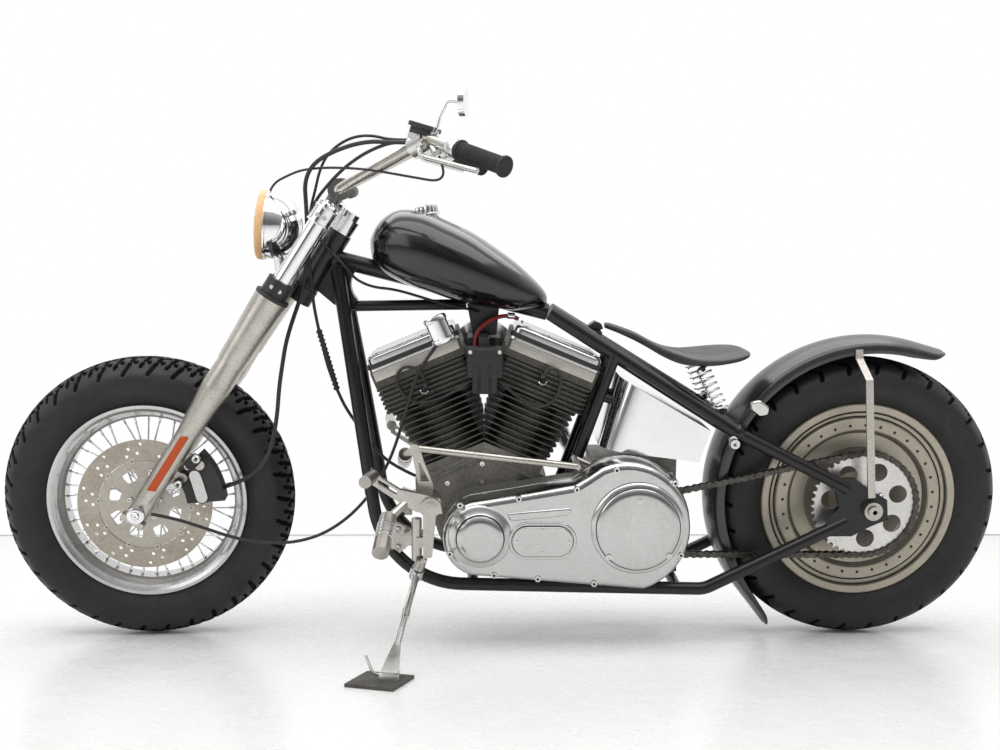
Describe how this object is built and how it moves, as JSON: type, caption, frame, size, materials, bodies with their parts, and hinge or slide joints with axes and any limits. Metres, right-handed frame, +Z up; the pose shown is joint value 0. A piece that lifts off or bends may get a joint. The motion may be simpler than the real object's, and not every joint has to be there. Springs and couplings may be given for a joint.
{
  "type": "chopper motorcycle",
  "caption": "Rigid-frame V-twin chopper with a long raked fork, solo saddle, spoked front wheel, solid rear wheel and chain drive, leaning on its side stand.",
  "frame": {"origin": "on the floor under the centre of the machine's box", "axes": "+X forwards, +Y to the rider's left, +Z up; the machine leans to its left onto its side stand"},
  "size_m": [2.2375, 0.9019, 1.1777],
  "materials": {
    "frame_black": "satin black paint",
    "gloss_black": "gloss black paint",
    "satin_black": "satin black paint",
    "black_cast": "semi-matt black coating on a casting",
    "black_plastic": "fine grained moulding",
    "grip_rubber": "ribbed",
    "tyre": "moulded tread",
    "seat_leather": "smooth black hide",
    "chrome": "bright plated",
    "polished": "polished",
    "cast_case": "fine cast",
    "dark_fins": "dark heat-proof coating, fins cast in",
    "machined": "bright machined",
    "satin_alloy": "satin, lightly aged",
    "steel": "satin",
    "disc_steel": "ground, bronze-grey tint",
    "sprocket_steel": "zinc plated",
    "chain_steel": "oiled links",
    "wheel_paint": "olive-grey paint",
    "pad_steel": "worn plate",
    "amber_lens": "fluted amber lens",
    "cable_black": "sheathed cable"
  },
  "bodies": {
    "frame": {"frame_neck": "frame_black", "frame_spine": "frame_black", "down_tubes": "frame_black", "frame_rails": "frame_black", "frame_cross_members": "frame_black", "frame_stays": "frame_black", "seat_posts": "frame_black", "axle_plates": "frame_black", "rear_axle": "steel", "engine_case": "cast_case", "front_cylinder": "dark_fins", "rear_cylinder": "dark_fins", "rocker_boxes": "polished", "timing_cover": "polished", "coil_cover": "black_plastic", "air_cleaner": "chrome", "primary_cover": "polished", "primary_inner": "cast_case", "gearbox": "cast_case", "exhaust_pipes": "chrome", "oil_tank": "chrome", "fuel_tank": "gloss_black", "fuel_cap": "chrome", "seat": "seat_leather", "seat_springs": "chrome", "seat_pivot": "frame_black", "rear_fender": "satin_black", "fender_struts": "chrome", "chain": "chain_steel", "rear_caliper": "black_cast", "foot_controls": "machined", "shift_linkage": "satin_alloy", "control_cables": "cable_black", "speed_cable": "cable_black"},
    "steering": {"fork_clamps": "chrome", "fork_tubes": "chrome", "fork_sliders": "satin_alloy", "headlamp": "chrome", "headlamp_lens": "amber_lens", "handlebar": "steel", "bar_risers": "black_cast", "grips": "grip_rubber", "hand_controls": "chrome", "mirror_arm": "black_plastic", "front_axle": "steel", "front_caliper": "black_cast", "brake_hose": "cable_black"},
    "front_wheel": {"front_tyre": "tyre", "front_rim": "chrome", "front_hub": "chrome", "front_disc": "disc_steel"},
    "rear_wheel": {"rear_tyre": "tyre", "rear_wheel_disc": "wheel_paint", "rear_sprocket": "sprocket_steel", "rear_brake_disc": "disc_steel"},
    "side_stand": {"stand_leg": "frame_black", "stand_pad": "pad_steel"}
  },
  "joints": [
    {"name": "steering", "type": "hinge", "parent": "frame", "child": "steering", "pos_m": [0.4055, 0.0197, 0.84027], "axis": [-0.5388, 0.139, 0.8309], "range_deg": [-33, 27], "deforming": ["control_cables", "speed_cable"]},
    {"name": "front_wheel_spin", "type": "hinge", "parent": "steering", "child": "front_wheel", "pos_m": [0.79895, -0.06575, 0.31536], "axis": [-0.0441, 0.9803, -0.1926], "continuous": true},
    {"name": "rear_wheel_spin", "type": "hinge", "parent": "frame", "child": "rear_wheel", "pos_m": [-0.797, -0.06759, 0.31864], "axis": [0, 0.9863, -0.165], "continuous": true},
    {"name": "side_stand_fold", "type": "hinge", "parent": "frame", "child": "side_stand", "pos_m": [0.192, 0.10196, 0.16853], "axis": [-0.2818, 0.5482, 0.7874], "range_deg": [0, 86.1]}
  ]
}
